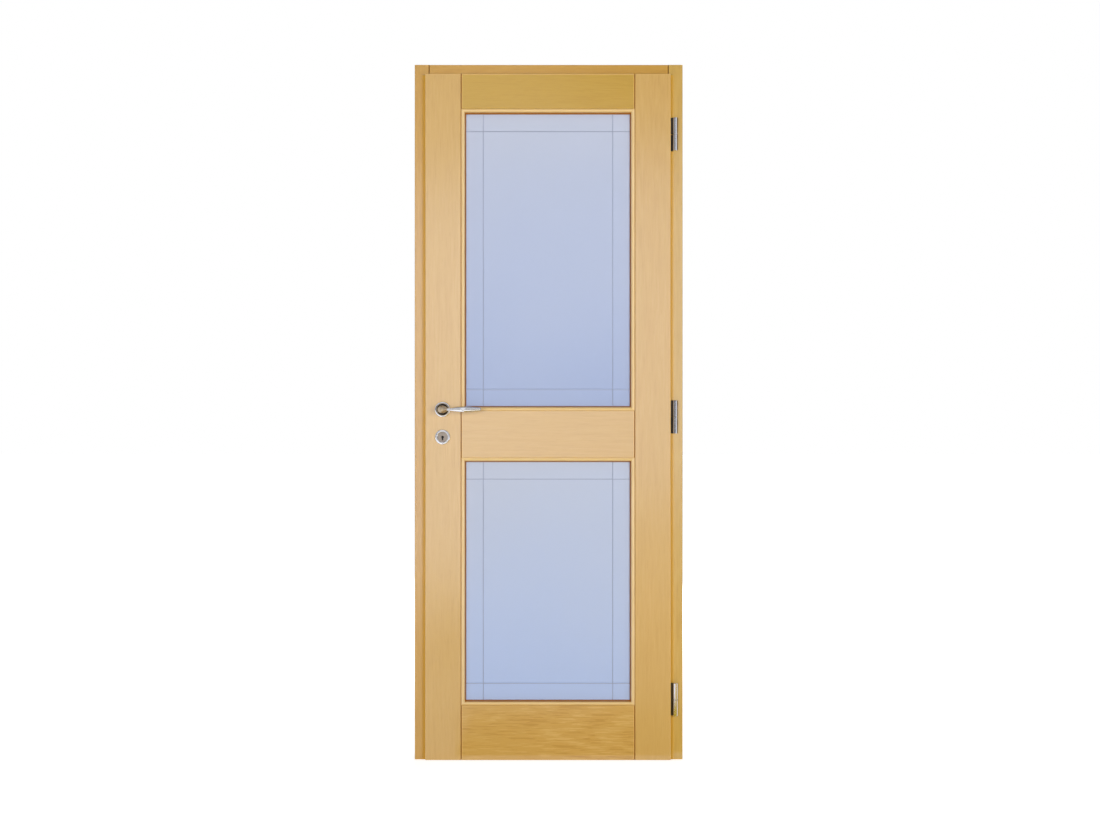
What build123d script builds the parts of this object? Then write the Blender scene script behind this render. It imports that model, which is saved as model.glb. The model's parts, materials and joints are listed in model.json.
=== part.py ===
from build123d import *
import os
from math import cos, radians, sin

os.makedirs("parts", exist_ok=True)

# A glazed timber door hung in its rebated frame. Sizes are in millimetres.
# X runs to the right and Z up, and the front faces -Y. The origin is on the hinge jamb's outer
# side face, at floor level and halfway through the frame's depth.

# Door slab
slab_width = 730.0
slab_height = 2040.0
slab_thickness = 40.0
lip_thickness = 15.0
stile_width = 107.0
top_rail_height = 104.0
mid_rail_height = 139.0
bottom_rail_height = 162.0
lower_light_height = 737.0
joint_groove_half_width = 1.6
joint_groove_depth = 4.0
edge_round = 2.0

# Frame
frame_depth = 90.0
jamb_width = 43.0
head_height = 41.0
stop_step = 12.0
frame_round = 1.5
frame_groove_half_width = 1.5
frame_groove_depth = 2.5
hinge_lap = 6.0
latch_lap = 10.0
head_lap = 10.0

# Running gaps between the slab and the frame
floor_gap = 3.0
face_gap = 5.0
stop_gap = 5.0
hinge_gap = 5.0
latch_gap = 6.0
head_gap = 5.0

# Panes and glazing beads
glass_thickness = 6.0
glass_clearance = 3.0
groove_inset = 51.0
groove_width = 2.4
groove_depth = 1.0
bead_width = 14.0
bead_face = 10.0
bead_shoulder_drop = 2.0
bead_nose_drop = 3.0
bead_toe = 4.0

# Hinges
hinge_length = 98.0
hinge_from_edge = 178.0
hinge_reach = 14.0
knuckle_radius = 7.0
knuckle_gap = 0.3
knuckle_chamfer = 0.8
leaf_thickness = 2.5
leaf_depth = 20.0
pin_radius = 4.0
pin_length = 36.0
pin_clearance = 0.05
pin_end_room = 2.0

# Handle
handle_height = 1045.0
backset = 52.0
rose_radius = 23.0
rose_height = 9.0
rose_recess_radius = 16.0
rose_floor = 4.0
neck_radius = 11.0
neck_clearance = 0.06
neck_start = 0.5
lever_offset = 46.0
lever_length = 116.0
shoulder_angle = 50.0
waist_at = 21.5
waist_radius = 4.0
collar_radius = 5.4
collar_width = 3.0
grip_start_radius = 4.4
grip_start_slope = 0.12
belly_at = 60.0
belly_radius = 9.3
tail_at = 86.0
tail_radius = 8.0
tail_slope = -0.08
tip_radius = 5.5
ring_first = 92.0
ring_pitch = 8.5
ring_count = 3
ring_width = 1.8
ring_depth = 0.8
spindle_side = 8.0
spindle_clearance = 0.05
spindle_grip = 30.0
spindle_bore = 9.0

# Key escutcheons
key_drop = 82.0
escutcheon_radius = 22.5
escutcheon_height = 7.0
key_disc_radius = 14.0
key_disc_height = 5.0
key_head_radius = 4.0
key_slot_width = 4.4
key_slot_drop = 10.0
key_pocket_depth = 14.0

# Lock edge and strike plate
lock_setback = 15.0
forend_width = 16.0
forend_length = 235.0
forend_thickness = 3.0
forend_end_round = 6.0
bolt_width = 10.0
bolt_depth = 22.0
bolt_clearance = 0.3
latch_bolt_height = 20.0
latch_bolt_bevel = 6.0
dead_bolt_height = 30.0
strike_width = 18.0
strike_length = 170.0
strike_thickness = 2.0
strike_round = 3.0
strike_window_room = 1.0
strike_pocket_depth = 14.0

# Planes and edges worked out from the sizes above
frame_front = -frame_depth / 2
frame_back = frame_depth / 2
lip_back = frame_front - face_gap
slab_front = lip_back - lip_thickness
slab_back = slab_front + slab_thickness
slab_middle = (slab_front + slab_back) / 2
stop_face = slab_back + stop_gap
clear_width = slab_width - hinge_lap - latch_lap
frame_width = clear_width + 2 * jamb_width
hinge_face = -jamb_width
latch_face = hinge_face - clear_width
frame_left = -frame_width
slab_right = hinge_face + hinge_lap
slab_left = slab_right - slab_width
rear_right = hinge_face - hinge_gap
rear_left = latch_face + latch_gap
slab_bottom = floor_gap
slab_top = slab_bottom + slab_height
head_underside = slab_top - head_lap
frame_top = head_underside + head_height
rear_top = head_underside - head_gap
light_left = slab_left + stile_width
light_right = slab_right - stile_width
lower_light = (slab_bottom + bottom_rail_height, slab_bottom + bottom_rail_height + lower_light_height)
upper_light = (lower_light[1] + mid_rail_height, slab_top - top_rail_height)
glass_front = slab_middle - glass_thickness / 2
glass_back = slab_middle + glass_thickness / 2
bead_depth = (slab_thickness - glass_thickness) / 2

hinge_x = slab_right + hinge_reach
hinge_y = lip_back - knuckle_radius
hinge_low = slab_bottom + hinge_from_edge
hinge_high = slab_top - hinge_from_edge
hinge_heights = [hinge_low, (hinge_low + hinge_high) / 2, hinge_high]
half_hinge = (hinge_length - knuckle_gap) / 2

handle_x = slab_left + backset
key_height = handle_height - key_drop
lock_y = lip_back + lock_setback
strike_front = frame_front + frame_groove_depth
lock_middle = (handle_height + key_height) / 2


def block(low, high, mode=Mode.ADD):
    """Add or cut a box between its lowest and its highest corner."""
    with Locations(low):
        Box(
            high[0] - low[0],
            high[1] - low[1],
            high[2] - low[2],
            align=(Align.MIN, Align.MIN, Align.MIN),
            mode=mode,
        )


def save(piece, node):
    """Name a finished piece and write it as its own node."""
    piece.part.label = node
    export_step(piece.part, f"parts/{node}.step")


def face_plane(side, x, z, depth=0.0):
    """A plane on the slab's front or back face, looking out of it, with local Y up."""
    if side == "front":
        return Plane(origin=(x, slab_front + depth, z), x_dir=(1, 0, 0), z_dir=(0, -1, 0))
    return Plane(origin=(x, slab_back - depth, z), x_dir=(-1, 0, 0), z_dir=(0, 1, 0))


def turning_plane(side, x, z):
    """A level plane for turned work: local X is the radius, local Y the height off the face."""
    if side == "front":
        return Plane(origin=(x, slab_front, z), x_dir=(1, 0, 0), z_dir=(0, 0, -1))
    return Plane(origin=(x, slab_back, z), x_dir=(1, 0, 0), z_dir=(0, 0, 1))


def frame_leaf_room(height):
    """The corners of the two mortises that hold a hinge's lower leaf in the jamb."""
    low = height - hinge_length / 2
    high = low + half_hinge
    front = (
        (hinge_face, frame_front, low),
        (hinge_x - knuckle_radius + leaf_thickness, frame_front + leaf_thickness, high),
    )
    inside = (
        (hinge_face, frame_front, low),
        (hinge_face + leaf_thickness, frame_front + leaf_depth, high),
    )
    return front, inside


def door_leaf_room(height):
    """The corners of the two mortises that hold a hinge's upper leaf in the stile."""
    high = height + hinge_length / 2
    low = high - half_hinge
    lip = (
        (rear_right - leaf_thickness, lip_back - leaf_thickness, low),
        (slab_right, lip_back, high),
    )
    edge = (
        (rear_right - leaf_thickness, lip_back - leaf_thickness, low),
        (rear_right, lip_back + leaf_depth, high),
    )
    return lip, edge


# Frame
with BuildPart() as hinge_jamb:
    with BuildSketch(Plane.XY):
        with BuildLine():
            Polyline(
                (0, frame_front),
                (hinge_face + frame_groove_half_width, frame_front),
                (hinge_face, frame_front + frame_groove_depth),
                (hinge_face, stop_face),
                (hinge_face - stop_step, stop_face),
                (hinge_face - stop_step, frame_back),
                (0, frame_back),
                close=True,
            )
        make_face()
    extrude(amount=frame_top)
    fillet(hinge_jamb.edges().filter_by(Axis.Z).group_by(Axis.Y)[0].sort_by(Axis.X)[-1], frame_round)
    for hinge_height in hinge_heights:
        for low, high in frame_leaf_room(hinge_height):
            block(low, high, Mode.SUBTRACT)
save(hinge_jamb, "hinge_jamb")

bolt_heights = {
    "latch": (handle_height, latch_bolt_height),
    "dead": (key_height, dead_bolt_height),
}
with BuildPart() as latch_jamb:
    with BuildSketch(Plane.XY):
        with BuildLine():
            Polyline(
                (frame_left, frame_front),
                (latch_face - frame_groove_half_width, frame_front),
                (latch_face, frame_front + frame_groove_depth),
                (latch_face, stop_face),
                (latch_face + stop_step, stop_face),
                (latch_face + stop_step, frame_back),
                (frame_left, frame_back),
                close=True,
            )
        make_face()
    extrude(amount=frame_top)
    fillet(latch_jamb.edges().filter_by(Axis.Z).group_by(Axis.Y)[0].sort_by(Axis.X)[0], frame_round)
    block(
        (latch_face - strike_thickness, strike_front, lock_middle - strike_length / 2),
        (latch_face, strike_front + strike_width, lock_middle + strike_length / 2),
        Mode.SUBTRACT,
    )
    for bolt_z, bolt_height in bolt_heights.values():
        block(
            (
                latch_face - strike_pocket_depth,
                lock_y - bolt_width / 2 - strike_window_room,
                bolt_z - bolt_height / 2 - strike_window_room,
            ),
            (
                latch_face - strike_thickness,
                lock_y + bolt_width / 2 + strike_window_room,
                bolt_z + bolt_height / 2 + strike_window_room,
            ),
            Mode.SUBTRACT,
        )
save(latch_jamb, "latch_jamb")

with BuildPart() as head_jamb:
    with BuildSketch(Plane.XY.offset(head_underside)):
        with BuildLine():
            Polyline(
                (latch_face + frame_groove_half_width, frame_front),
                (hinge_face - frame_groove_half_width, frame_front),
                (hinge_face, frame_front + frame_groove_depth),
                (hinge_face, stop_face),
                (latch_face, stop_face),
                (latch_face, frame_front + frame_groove_depth),
                close=True,
            )
        make_face()
    extrude(amount=head_height)
    fillet(head_jamb.edges().filter_by(Axis.X).group_by(Axis.Y)[0], frame_round)
    block(
        (latch_face + stop_step, stop_face, head_underside - stop_step),
        (hinge_face - stop_step, frame_back, frame_top),
    )
save(head_jamb, "head_jamb")

with BuildPart() as strike_plate:
    block(
        (latch_face - strike_thickness, strike_front, lock_middle - strike_length / 2),
        (latch_face, strike_front + strike_width, lock_middle + strike_length / 2),
    )
    for bolt_z, bolt_height in bolt_heights.values():
        block(
            (
                latch_face - strike_thickness,
                lock_y - bolt_width / 2 - strike_window_room,
                bolt_z - bolt_height / 2 - strike_window_room,
            ),
            (
                latch_face,
                lock_y + bolt_width / 2 + strike_window_room,
                bolt_z + bolt_height / 2 + strike_window_room,
            ),
            Mode.SUBTRACT,
        )
save(strike_plate, "strike_plate")


# Door slab
def make_stile(node, outer_x, rear_x, inner_x):
    """A full-height stile with its lip, its cut-back rear part and its side of the joint grooves."""
    inward = 1 if inner_x > outer_x else -1
    with BuildPart() as stile:
        with BuildSketch(Plane.XY.offset(slab_bottom)):
            with BuildLine():
                Polyline(
                    (outer_x, slab_front),
                    (inner_x - inward * joint_groove_half_width, slab_front),
                    (inner_x, slab_front + joint_groove_depth),
                    (inner_x, slab_back - joint_groove_depth),
                    (inner_x - inward * joint_groove_half_width, slab_back),
                    (rear_x, slab_back),
                    (rear_x, lip_back),
                    (outer_x, lip_back),
                    close=True,
                )
            make_face()
        extrude(amount=slab_height)
        block(
            (min(outer_x, inner_x), lip_back, rear_top),
            (max(outer_x, inner_x), slab_back, slab_top),
            Mode.SUBTRACT,
        )
        front_edges = stile.edges().group_by(Axis.Y)[0]
        outer_edge = front_edges.filter_by(Axis.Z).sort_by(Axis.X)[0 if inward > 0 else -1]
        top_edge = front_edges.filter_by(Axis.X).sort_by(Axis.Z)[-1]
        fillet([outer_edge, top_edge], edge_round)
        if inward < 0:
            cut_door_leaf_mortises()
        else:
            cut_lock_mortises()
    save(stile, node)


def cut_door_leaf_mortises():
    """Cut the hinge stile for the three upper hinge leaves."""
    for hinge_height in hinge_heights:
        for low, high in door_leaf_room(hinge_height):
            block(low, high, Mode.SUBTRACT)


def cut_lock_mortises():
    """Cut the latch stile for the forend, the bolts, the spindle and the key."""
    block(
        (rear_left, lock_y - forend_width / 2, lock_middle - forend_length / 2),
        (rear_left + forend_thickness, lock_y + forend_width / 2, lock_middle + forend_length / 2),
        Mode.SUBTRACT,
    )
    for bolt_z, bolt_height in bolt_heights.values():
        block(
            (rear_left, lock_y - bolt_width / 2, bolt_z - bolt_height / 2),
            (rear_left + bolt_depth, lock_y + bolt_width / 2, bolt_z + bolt_height / 2),
            Mode.SUBTRACT,
        )
    with Locations(face_plane("front", handle_x, handle_height)):
        Hole(radius=spindle_bore, depth=slab_thickness)
    for side in ("front", "back"):
        with Locations(face_plane(side, handle_x, key_height)):
            Hole(radius=key_head_radius, depth=key_pocket_depth)
        low_y = slab_front if side == "front" else slab_back - key_pocket_depth
        block(
            (handle_x - key_slot_width / 2, low_y, key_height - key_slot_drop),
            (handle_x + key_slot_width / 2, low_y + key_pocket_depth, key_height),
            Mode.SUBTRACT,
        )


make_stile("latch_stile", slab_left, rear_left, light_left)
make_stile("hinge_stile", slab_right, rear_right, light_right)


def make_rail(node, low_z, high_z):
    """A rail between the stiles, with chamfered ends that form the grooves beside them."""
    with BuildPart() as rail:
        with BuildSketch(Plane.XY.offset(low_z)):
            with BuildLine():
                Polyline(
                    (light_left + joint_groove_half_width, slab_front),
                    (light_right - joint_groove_half_width, slab_front),
                    (light_right, slab_front + joint_groove_depth),
                    (light_right, slab_back - joint_groove_depth),
                    (light_right - joint_groove_half_width, slab_back),
                    (light_left + joint_groove_half_width, slab_back),
                    (light_left, slab_back - joint_groove_depth),
                    (light_left, slab_front + joint_groove_depth),
                    close=True,
                )
            make_face()
        extrude(amount=high_z - low_z)
        if high_z == slab_top:
            block((light_left, lip_back, rear_top), (light_right, slab_back, slab_top), Mode.SUBTRACT)
            front_edges = rail.edges().group_by(Axis.Y)[0]
            fillet(front_edges.filter_by(Axis.X).sort_by(Axis.Z)[-1], edge_round)
    save(rail, node)


make_rail("top_rail", upper_light[1], slab_top)
make_rail("mid_rail", lower_light[1], upper_light[0])
make_rail("bottom_rail", slab_bottom, lower_light[0])


# Panes, with a V-groove engraved along each side of the front face
def make_pane(node, light):
    left = light_left + glass_clearance
    right = light_right - glass_clearance
    low = light[0] + glass_clearance
    high = light[1] - glass_clearance
    inset = bead_width + groove_inset
    with BuildPart() as pane:
        block((left, glass_front, low), (right, glass_back, high))
        for groove_x in (light_left + inset, light_right - inset):
            with BuildSketch(Plane.XY.offset(low)):
                with BuildLine():
                    Polyline(
                        (groove_x - groove_width / 2, glass_front),
                        (groove_x + groove_width / 2, glass_front),
                        (groove_x, glass_front + groove_depth),
                        close=True,
                    )
                make_face()
            extrude(amount=high - low, mode=Mode.SUBTRACT)
        for groove_z in (light[0] + inset, light[1] - inset):
            with BuildSketch(Plane.YZ.offset(left)):
                with BuildLine():
                    Polyline(
                        (glass_front, groove_z - groove_width / 2),
                        (glass_front, groove_z + groove_width / 2),
                        (glass_front + groove_depth, groove_z),
                        close=True,
                    )
                make_face()
            extrude(amount=right - left, mode=Mode.SUBTRACT)
    save(pane, node)


make_pane("upper_glass", upper_light)
make_pane("lower_glass", lower_light)


# Glazing beads: a rounded face and a steep inner side, mitred at both ends
def make_bead(node, seat, inward, outward, length):
    """One bead along a side of a light: seat is the middle of that side, on the glass."""
    run = Vector(*inward).cross(Vector(*outward))
    section = Plane(origin=seat, x_dir=inward, z_dir=run)
    with BuildPart() as bead:
        with BuildSketch(section):
            with BuildLine():
                Line((0, 0), (0, bead_depth - bead_shoulder_drop))
                ThreePointArc(
                    (0, bead_depth - bead_shoulder_drop),
                    (bead_face / 2, bead_depth),
                    (bead_face, bead_depth - bead_nose_drop),
                )
                Polyline(
                    (bead_face, bead_depth - bead_nose_drop),
                    (bead_width, bead_toe),
                    (bead_width, 0),
                    (0, 0),
                )
            make_face()
        extrude(amount=length / 2, both=True)
        for end in (-1, 1):
            corner = Vector(*seat) + run * (end * length / 2)
            mitre = Plane(origin=corner, z_dir=run * end + Vector(*inward))
            split(bisect_by=mitre, keep=Keep.BOTTOM)
    save(bead, node)


for light_name, light in {"upper": upper_light, "lower": lower_light}.items():
    light_middle_x = (light_left + light_right) / 2
    light_middle_z = (light[0] + light[1]) / 2
    light_width = light_right - light_left
    light_height = light[1] - light[0]
    for side, glass_y, outward in (("front", glass_front, (0, -1, 0)), ("back", glass_back, (0, 1, 0))):
        prefix = f"{light_name}_{side}_bead"
        make_bead(
            f"{prefix}_left", (light_left, glass_y, light_middle_z), (1, 0, 0), outward, light_height
        )
        make_bead(
            f"{prefix}_right", (light_right, glass_y, light_middle_z), (-1, 0, 0), outward, light_height
        )
        make_bead(
            f"{prefix}_bottom", (light_middle_x, glass_y, light[0]), (0, 0, 1), outward, light_width
        )
        make_bead(
            f"{prefix}_top", (light_middle_x, glass_y, light[1]), (0, 0, -1), outward, light_width
        )


# Hinges: the lower knuckle carries the pin and rides on the jamb, the upper one is on the door
for number, hinge_height in enumerate(hinge_heights, start=1):
    hinge_bottom = hinge_height - hinge_length / 2
    hinge_top = hinge_height + hinge_length / 2

    with BuildPart() as frame_leaf:
        with BuildSketch(Plane.XY.offset(hinge_bottom)):
            with Locations((hinge_x, hinge_y)):
                Circle(knuckle_radius)
        extrude(amount=half_hinge)
        chamfer(frame_leaf.edges().filter_by(GeomType.CIRCLE), knuckle_chamfer)
        block(
            (hinge_x - knuckle_radius, hinge_y, hinge_bottom),
            (
                hinge_x - knuckle_radius + leaf_thickness,
                frame_front + leaf_thickness,
                hinge_bottom + half_hinge,
            ),
        )
        for low, high in frame_leaf_room(hinge_height):
            block(low, high)
        with BuildSketch(Plane.XY.offset(hinge_bottom + half_hinge)):
            with Locations((hinge_x, hinge_y)):
                Circle(pin_radius)
        extrude(amount=pin_length)
    save(frame_leaf, f"hinge_frame_leaf_{number}")

    with BuildPart() as door_leaf:
        with BuildSketch(Plane.XY.offset(hinge_top - half_hinge)):
            with Locations((hinge_x, hinge_y)):
                Circle(knuckle_radius)
        extrude(amount=half_hinge)
        chamfer(door_leaf.edges().filter_by(GeomType.CIRCLE), knuckle_chamfer)
        for low, high in door_leaf_room(hinge_height):
            block(low, high)
        block(
            (slab_right, lip_back - leaf_thickness, hinge_top - half_hinge),
            (hinge_x, lip_back, hinge_top),
        )
        with BuildSketch(Plane.XY.offset(hinge_top - half_hinge)):
            with Locations((hinge_x, hinge_y)):
                Circle(pin_radius + pin_clearance)
        extrude(amount=pin_length - knuckle_gap + pin_end_room, mode=Mode.SUBTRACT)
    save(door_leaf, f"hinge_door_leaf_{number}")


# Lock edge
with BuildPart() as lock_forend:
    block(
        (rear_left, lock_y - forend_width / 2, lock_middle - forend_length / 2),
        (rear_left + forend_thickness, lock_y + forend_width / 2, lock_middle + forend_length / 2),
    )
    for bolt_z, bolt_height in bolt_heights.values():
        block(
            (
                rear_left,
                lock_y - bolt_width / 2 - bolt_clearance,
                bolt_z - bolt_height / 2 - bolt_clearance,
            ),
            (
                rear_left + forend_thickness,
                lock_y + bolt_width / 2 + bolt_clearance,
                bolt_z + bolt_height / 2 + bolt_clearance,
            ),
            Mode.SUBTRACT,
        )
save(lock_forend, "lock_forend")

for bolt_name, (bolt_z, bolt_height) in bolt_heights.items():
    with BuildPart() as bolt:
        block(
            (rear_left, lock_y - bolt_width / 2, bolt_z - bolt_height / 2),
            (rear_left + bolt_depth, lock_y + bolt_width / 2, bolt_z + bolt_height / 2),
        )
        if bolt_name == "latch":
            bevel_edge = bolt.edges().filter_by(Axis.Z).group_by(Axis.X)[0].sort_by(Axis.Y)[-1]
            chamfer(bevel_edge, latch_bolt_bevel)
    save(bolt, f"{bolt_name}_bolt")


# Roses and key escutcheons
def make_rose(side):
    plane = turning_plane(side, handle_x, handle_height)
    bore = neck_radius + neck_clearance
    rim_middle = (rose_recess_radius + rose_radius) / 2
    rim_round = (rose_radius - rose_recess_radius) / 2
    with BuildPart() as rose:
        with BuildSketch(plane):
            with BuildLine():
                Polyline(
                    (rose_recess_radius, rose_height - rim_round),
                    (rose_recess_radius, rose_floor),
                    (bore, rose_floor),
                    (bore, 0),
                    (rose_radius, 0),
                    (rose_radius, rose_height - rim_round),
                )
                ThreePointArc(
                    (rose_radius, rose_height - rim_round),
                    (rim_middle, rose_height),
                    (rose_recess_radius, rose_height - rim_round),
                )
            make_face()
        revolve(axis=Axis(plane.origin, plane.y_dir))
    save(rose, f"rose_{side}")


def make_escutcheon(side):
    plane = turning_plane(side, handle_x, key_height)
    rim_edge = escutcheon_height / 2
    with BuildPart() as escutcheon:
        with BuildSketch(plane):
            with BuildLine():
                Polyline(
                    (0, key_disc_height),
                    (0, 0),
                    (escutcheon_radius, 0),
                    (escutcheon_radius, rim_edge),
                )
                RadiusArc(
                    (escutcheon_radius, rim_edge),
                    (escutcheon_radius - rim_edge, escutcheon_height),
                    -rim_edge,
                )
                Polyline(
                    (escutcheon_radius - rim_edge, escutcheon_height),
                    (key_disc_radius + escutcheon_height - key_disc_height, escutcheon_height),
                    (key_disc_radius, key_disc_height),
                    (0, key_disc_height),
                )
            make_face()
        revolve(axis=Axis(plane.origin, plane.y_dir))
        with BuildSketch(face_plane(side, handle_x, key_height)):
            Circle(key_head_radius)
            with Locations((0, -key_slot_drop / 2)):
                Rectangle(key_slot_width, key_slot_drop)
        extrude(amount=escutcheon_height, mode=Mode.SUBTRACT)
    save(escutcheon, f"escutcheon_{side}")


# Levers: a straight neck with a round end, and a turned grip that points to the hinges
def make_lever(side):
    outward = -1 if side == "front" else 1
    plane = turning_plane(side, handle_x, handle_height)
    axis_y = plane.origin.Y + outward * lever_offset
    shoulder = radians(shoulder_angle)
    collar_end = waist_at + collar_width

    def taper(along):
        """Radius of the straight tail of the grip, where its rings are cut."""
        share = (along - tail_at) / (lever_length - tip_radius - tail_at)
        return tail_radius + share * (tip_radius - tail_radius)

    with BuildPart() as lever:
        with BuildSketch(plane):
            with BuildLine():
                Polyline(
                    (0, neck_start),
                    (neck_radius, neck_start),
                    (neck_radius, lever_offset),
                    (0, lever_offset),
                    close=True,
                )
            make_face()
        revolve(axis=Axis(plane.origin, plane.y_dir))
        with BuildSketch(Plane(origin=(handle_x, axis_y, handle_height), x_dir=(1, 0, 0), z_dir=(0, -1, 0))):
            with BuildLine():
                start = (neck_radius * sin(shoulder), neck_radius * cos(shoulder))
                ThreePointArc((-neck_radius, 0), (0, neck_radius), start)
                Spline(start, (waist_at, waist_radius), tangents=[(cos(shoulder), -sin(shoulder)), (1, 0)])
                Polyline(
                    (waist_at, waist_radius),
                    (waist_at, collar_radius),
                    (collar_end, collar_radius),
                    (collar_end, grip_start_radius),
                )
                Spline(
                    (collar_end, grip_start_radius),
                    (belly_at, belly_radius),
                    (tail_at, tail_radius),
                    tangents=[(1, grip_start_slope), (1, tail_slope)],
                )
                outline = [(tail_at, tail_radius)]
                for ring in range(ring_count):
                    ring_start = ring_first + ring * ring_pitch
                    ring_end = ring_start + ring_width
                    outline += [
                        (ring_start, taper(ring_start)),
                        (ring_start, taper(ring_start) - ring_depth),
                        (ring_end, taper(ring_end) - ring_depth),
                        (ring_end, taper(ring_end)),
                    ]
                outline.append((lever_length - tip_radius, tip_radius))
                Polyline(*outline)
                RadiusArc((lever_length - tip_radius, tip_radius), (lever_length, 0), tip_radius)
                Line((lever_length, 0), (-neck_radius, 0))
            make_face()
        revolve(axis=Axis((handle_x, axis_y, handle_height), (1, 0, 0)))
        with BuildSketch(face_plane(side, handle_x, handle_height)):
            Rectangle(spindle_side + 2 * spindle_clearance, spindle_side + 2 * spindle_clearance)
        extrude(amount=spindle_grip + spindle_clearance, mode=Mode.SUBTRACT)
    save(lever, f"lever_{side}")


for side in ("front", "back"):
    make_rose(side)
    make_escutcheon(side)
    make_lever(side)

with BuildPart() as spindle:
    block(
        (handle_x - spindle_side / 2, slab_front - spindle_grip, handle_height - spindle_side / 2),
        (handle_x + spindle_side / 2, slab_back + spindle_grip, handle_height + spindle_side / 2),
    )
save(spindle, "spindle")
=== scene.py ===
"""The looks of a glazed timber door hung in its frame, built around its fixed model."""

import json
import math

import bmesh
import bpy
from mathutils import Matrix, Vector


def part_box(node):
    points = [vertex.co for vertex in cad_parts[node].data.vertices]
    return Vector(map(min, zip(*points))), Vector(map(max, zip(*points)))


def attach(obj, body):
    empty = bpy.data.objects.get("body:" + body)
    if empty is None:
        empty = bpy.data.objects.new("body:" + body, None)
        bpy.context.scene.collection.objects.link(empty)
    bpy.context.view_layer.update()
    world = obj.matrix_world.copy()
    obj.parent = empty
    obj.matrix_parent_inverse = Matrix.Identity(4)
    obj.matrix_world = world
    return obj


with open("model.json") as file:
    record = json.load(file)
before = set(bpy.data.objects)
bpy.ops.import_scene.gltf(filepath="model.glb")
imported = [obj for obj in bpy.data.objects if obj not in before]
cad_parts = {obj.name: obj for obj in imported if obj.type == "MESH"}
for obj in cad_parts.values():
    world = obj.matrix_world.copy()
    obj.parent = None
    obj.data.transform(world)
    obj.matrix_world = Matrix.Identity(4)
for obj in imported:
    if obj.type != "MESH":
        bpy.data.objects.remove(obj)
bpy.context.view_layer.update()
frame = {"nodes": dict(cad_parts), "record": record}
nodes = frame["nodes"]

# Faces and centres read from the fixed model, in metres
SLAB_LOW, SLAB_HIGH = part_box("latch_stile")
HINGE_STILE_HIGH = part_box("hinge_stile")[1]
RAIL_LOW, RAIL_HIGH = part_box("mid_rail")
HEAD_LOW, HEAD_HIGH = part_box("head_jamb")
ROSE_LOW, ROSE_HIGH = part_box("rose_front")
PLATE_LOW, PLATE_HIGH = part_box("escutcheon_front")
SLAB_FRONT = SLAB_LOW.y
HANDLE_CENTRE = (ROSE_LOW + ROSE_HIGH) / 2
KEY_CENTRE = (PLATE_LOW + PLATE_HIGH) / 2
HINGE_AXIS = frame["record"]["behaviour"]["joints"][0]["pos_m"]

# The photograph's frame: one picture pixel is this many metres at the door's face
PICTURE_WIDTH = 1100
METRES_PER_PIXEL = 0.002972
CAMERA_DISTANCE = 4.2
SENSOR_WIDTH = 36.0
CAMERA_X = -0.396
CAMERA_Z = 1.0374
FARTHEST_SEEN = 200

# An edge that turns more than this is crisp: eased on the fixed model, shaded as an edge on turned pieces
CRISP_ANGLE = math.radians(40)


def srgb(red, green, blue):
    """A linear colour with alpha from 0 to 255 screen values."""
    channels = []
    for value in (red, green, blue):
        share = value / 255
        channels.append(share / 12.92 if share <= 0.04045 else ((share + 0.055) / 1.055) ** 2.4)
    return (*channels, 1.0)


class Tree:
    """A material's or world's nodes, with short ways to add and join them."""

    def __init__(self, owner):
        owner.use_nodes = True
        self.graph = owner.node_tree
        self.graph.nodes.clear()

    def add(self, kind, inputs=None, **settings):
        node = self.graph.nodes.new(kind)
        for key, value in settings.items():
            setattr(node, key, value)
        for key, value in (inputs or {}).items():
            self.set_input(node, key, value)
        return node

    def set_input(self, node, key, value):
        if isinstance(value, bpy.types.NodeSocket):
            self.graph.links.new(value, node.inputs[key])
        else:
            node.inputs[key].default_value = value

    def here(self):
        """The place of a point on the piece, in the shared frame at rest."""
        return self.add("ShaderNodeTexCoord").outputs["Object"]

    def parts(self, place):
        return self.add("ShaderNodeSeparateXYZ", {"Vector": place}).outputs

    def math(self, operation, first, second=0.0, clamp=False):
        inputs = {0: first, 1: second}
        return self.add("ShaderNodeMath", inputs, operation=operation, use_clamp=clamp).outputs[0]

    def vectors(self, operation, first, second):
        inputs = {0: first, 1: second}
        return self.add("ShaderNodeVectorMath", inputs, operation=operation).outputs["Vector"]

    def distance(self, place, centre, axes):
        """How far a place is from a centre, measured along some of the axes only."""
        kept = self.vectors("MULTIPLY", self.vectors("SUBTRACT", place, tuple(centre)), axes)
        return self.add("ShaderNodeVectorMath", {0: kept}, operation="LENGTH").outputs["Value"]

    def gap(self, coordinate, line):
        """How far a coordinate is from a line, on either side of it."""
        return self.math("ABSOLUTE", self.math("SUBTRACT", coordinate, line))

    def remap(self, value, low, high, to_low=0.0, to_high=1.0):
        inputs = {"Value": value, "From Min": low, "From Max": high, "To Min": to_low, "To Max": to_high}
        return self.add("ShaderNodeMapRange", inputs).outputs["Result"]

    def blend(self, share, first, second, kind="MIX"):
        node = self.add("ShaderNodeMix", data_type="RGBA", blend_type=kind)
        for key, value in ((0, share), (6, first), (7, second)):
            self.set_input(node, key, value)
        return node.outputs[2]

    def noise(self, place, scale, detail=2.0, roughness=0.5):
        inputs = {"Vector": place, "Scale": scale, "Detail": detail, "Roughness": roughness}
        return self.add("ShaderNodeTexNoise", inputs).outputs["Fac"]

    def mapping(self, place, **settings):
        inputs = {"Vector": place}
        inputs.update({key.capitalize(): value for key, value in settings.items()})
        return self.add("ShaderNodeMapping", inputs).outputs["Vector"]

    def bump(self, height, strength, distance):
        inputs = {"Height": height, "Strength": strength, "Distance": distance}
        return self.add("ShaderNodeBump", inputs).outputs["Normal"]

    def surface(self, shader, output="ShaderNodeOutputMaterial"):
        self.add(output, {"Surface": shader})

    def principled(self, inputs):
        self.surface(self.add("ShaderNodeBsdfPrincipled", inputs).outputs[0])


def new_material(name):
    material = bpy.data.materials.new(name)
    return material, Tree(material)


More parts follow.
